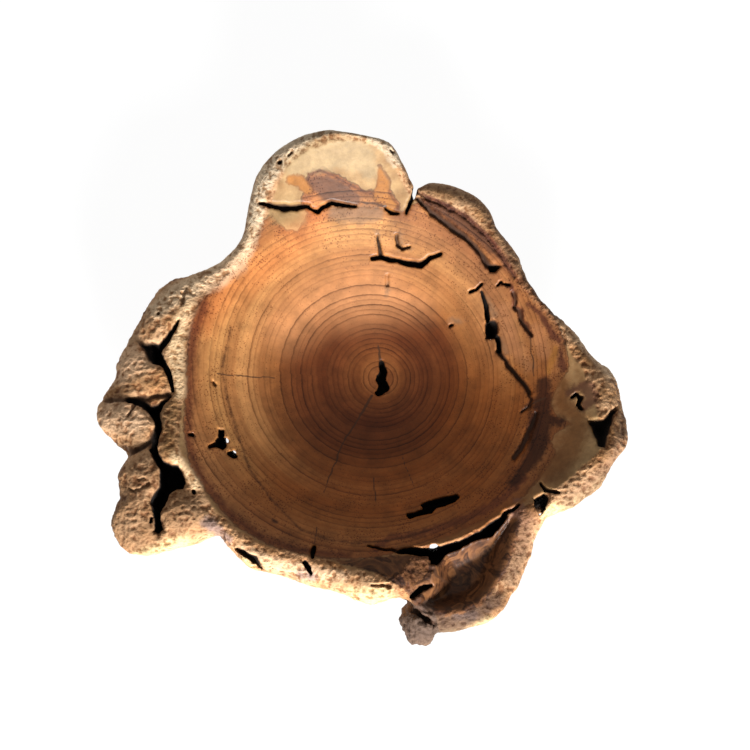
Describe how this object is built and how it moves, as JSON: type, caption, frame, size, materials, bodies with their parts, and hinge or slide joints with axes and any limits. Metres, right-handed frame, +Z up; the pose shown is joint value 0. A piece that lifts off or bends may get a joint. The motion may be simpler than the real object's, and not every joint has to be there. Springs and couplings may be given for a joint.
{
  "type": "live-edge burl bowl",
  "caption": "Bowl carved across a tree burl in one piece: a smooth dished hollow, a natural lobed edge with cracks and bark pockets, and a flat foot.",
  "frame": {"origin": "centre of the flat foot, straight under the pith of the wood", "axes": "+Z up out of the hollow; +X and +Y lie in the plane of the foot, with the widest spur of the edge towards -Y and the tall lobe towards +Y"},
  "size_m": [0.4391, 0.4372, 0.1169],
  "materials": {
    "burl_wood": "carved, sanded and oiled inside, brushed natural surface outside"
  },
  "bodies": {
    "root": {"burl": "burl_wood"}
  },
  "joints": []
}
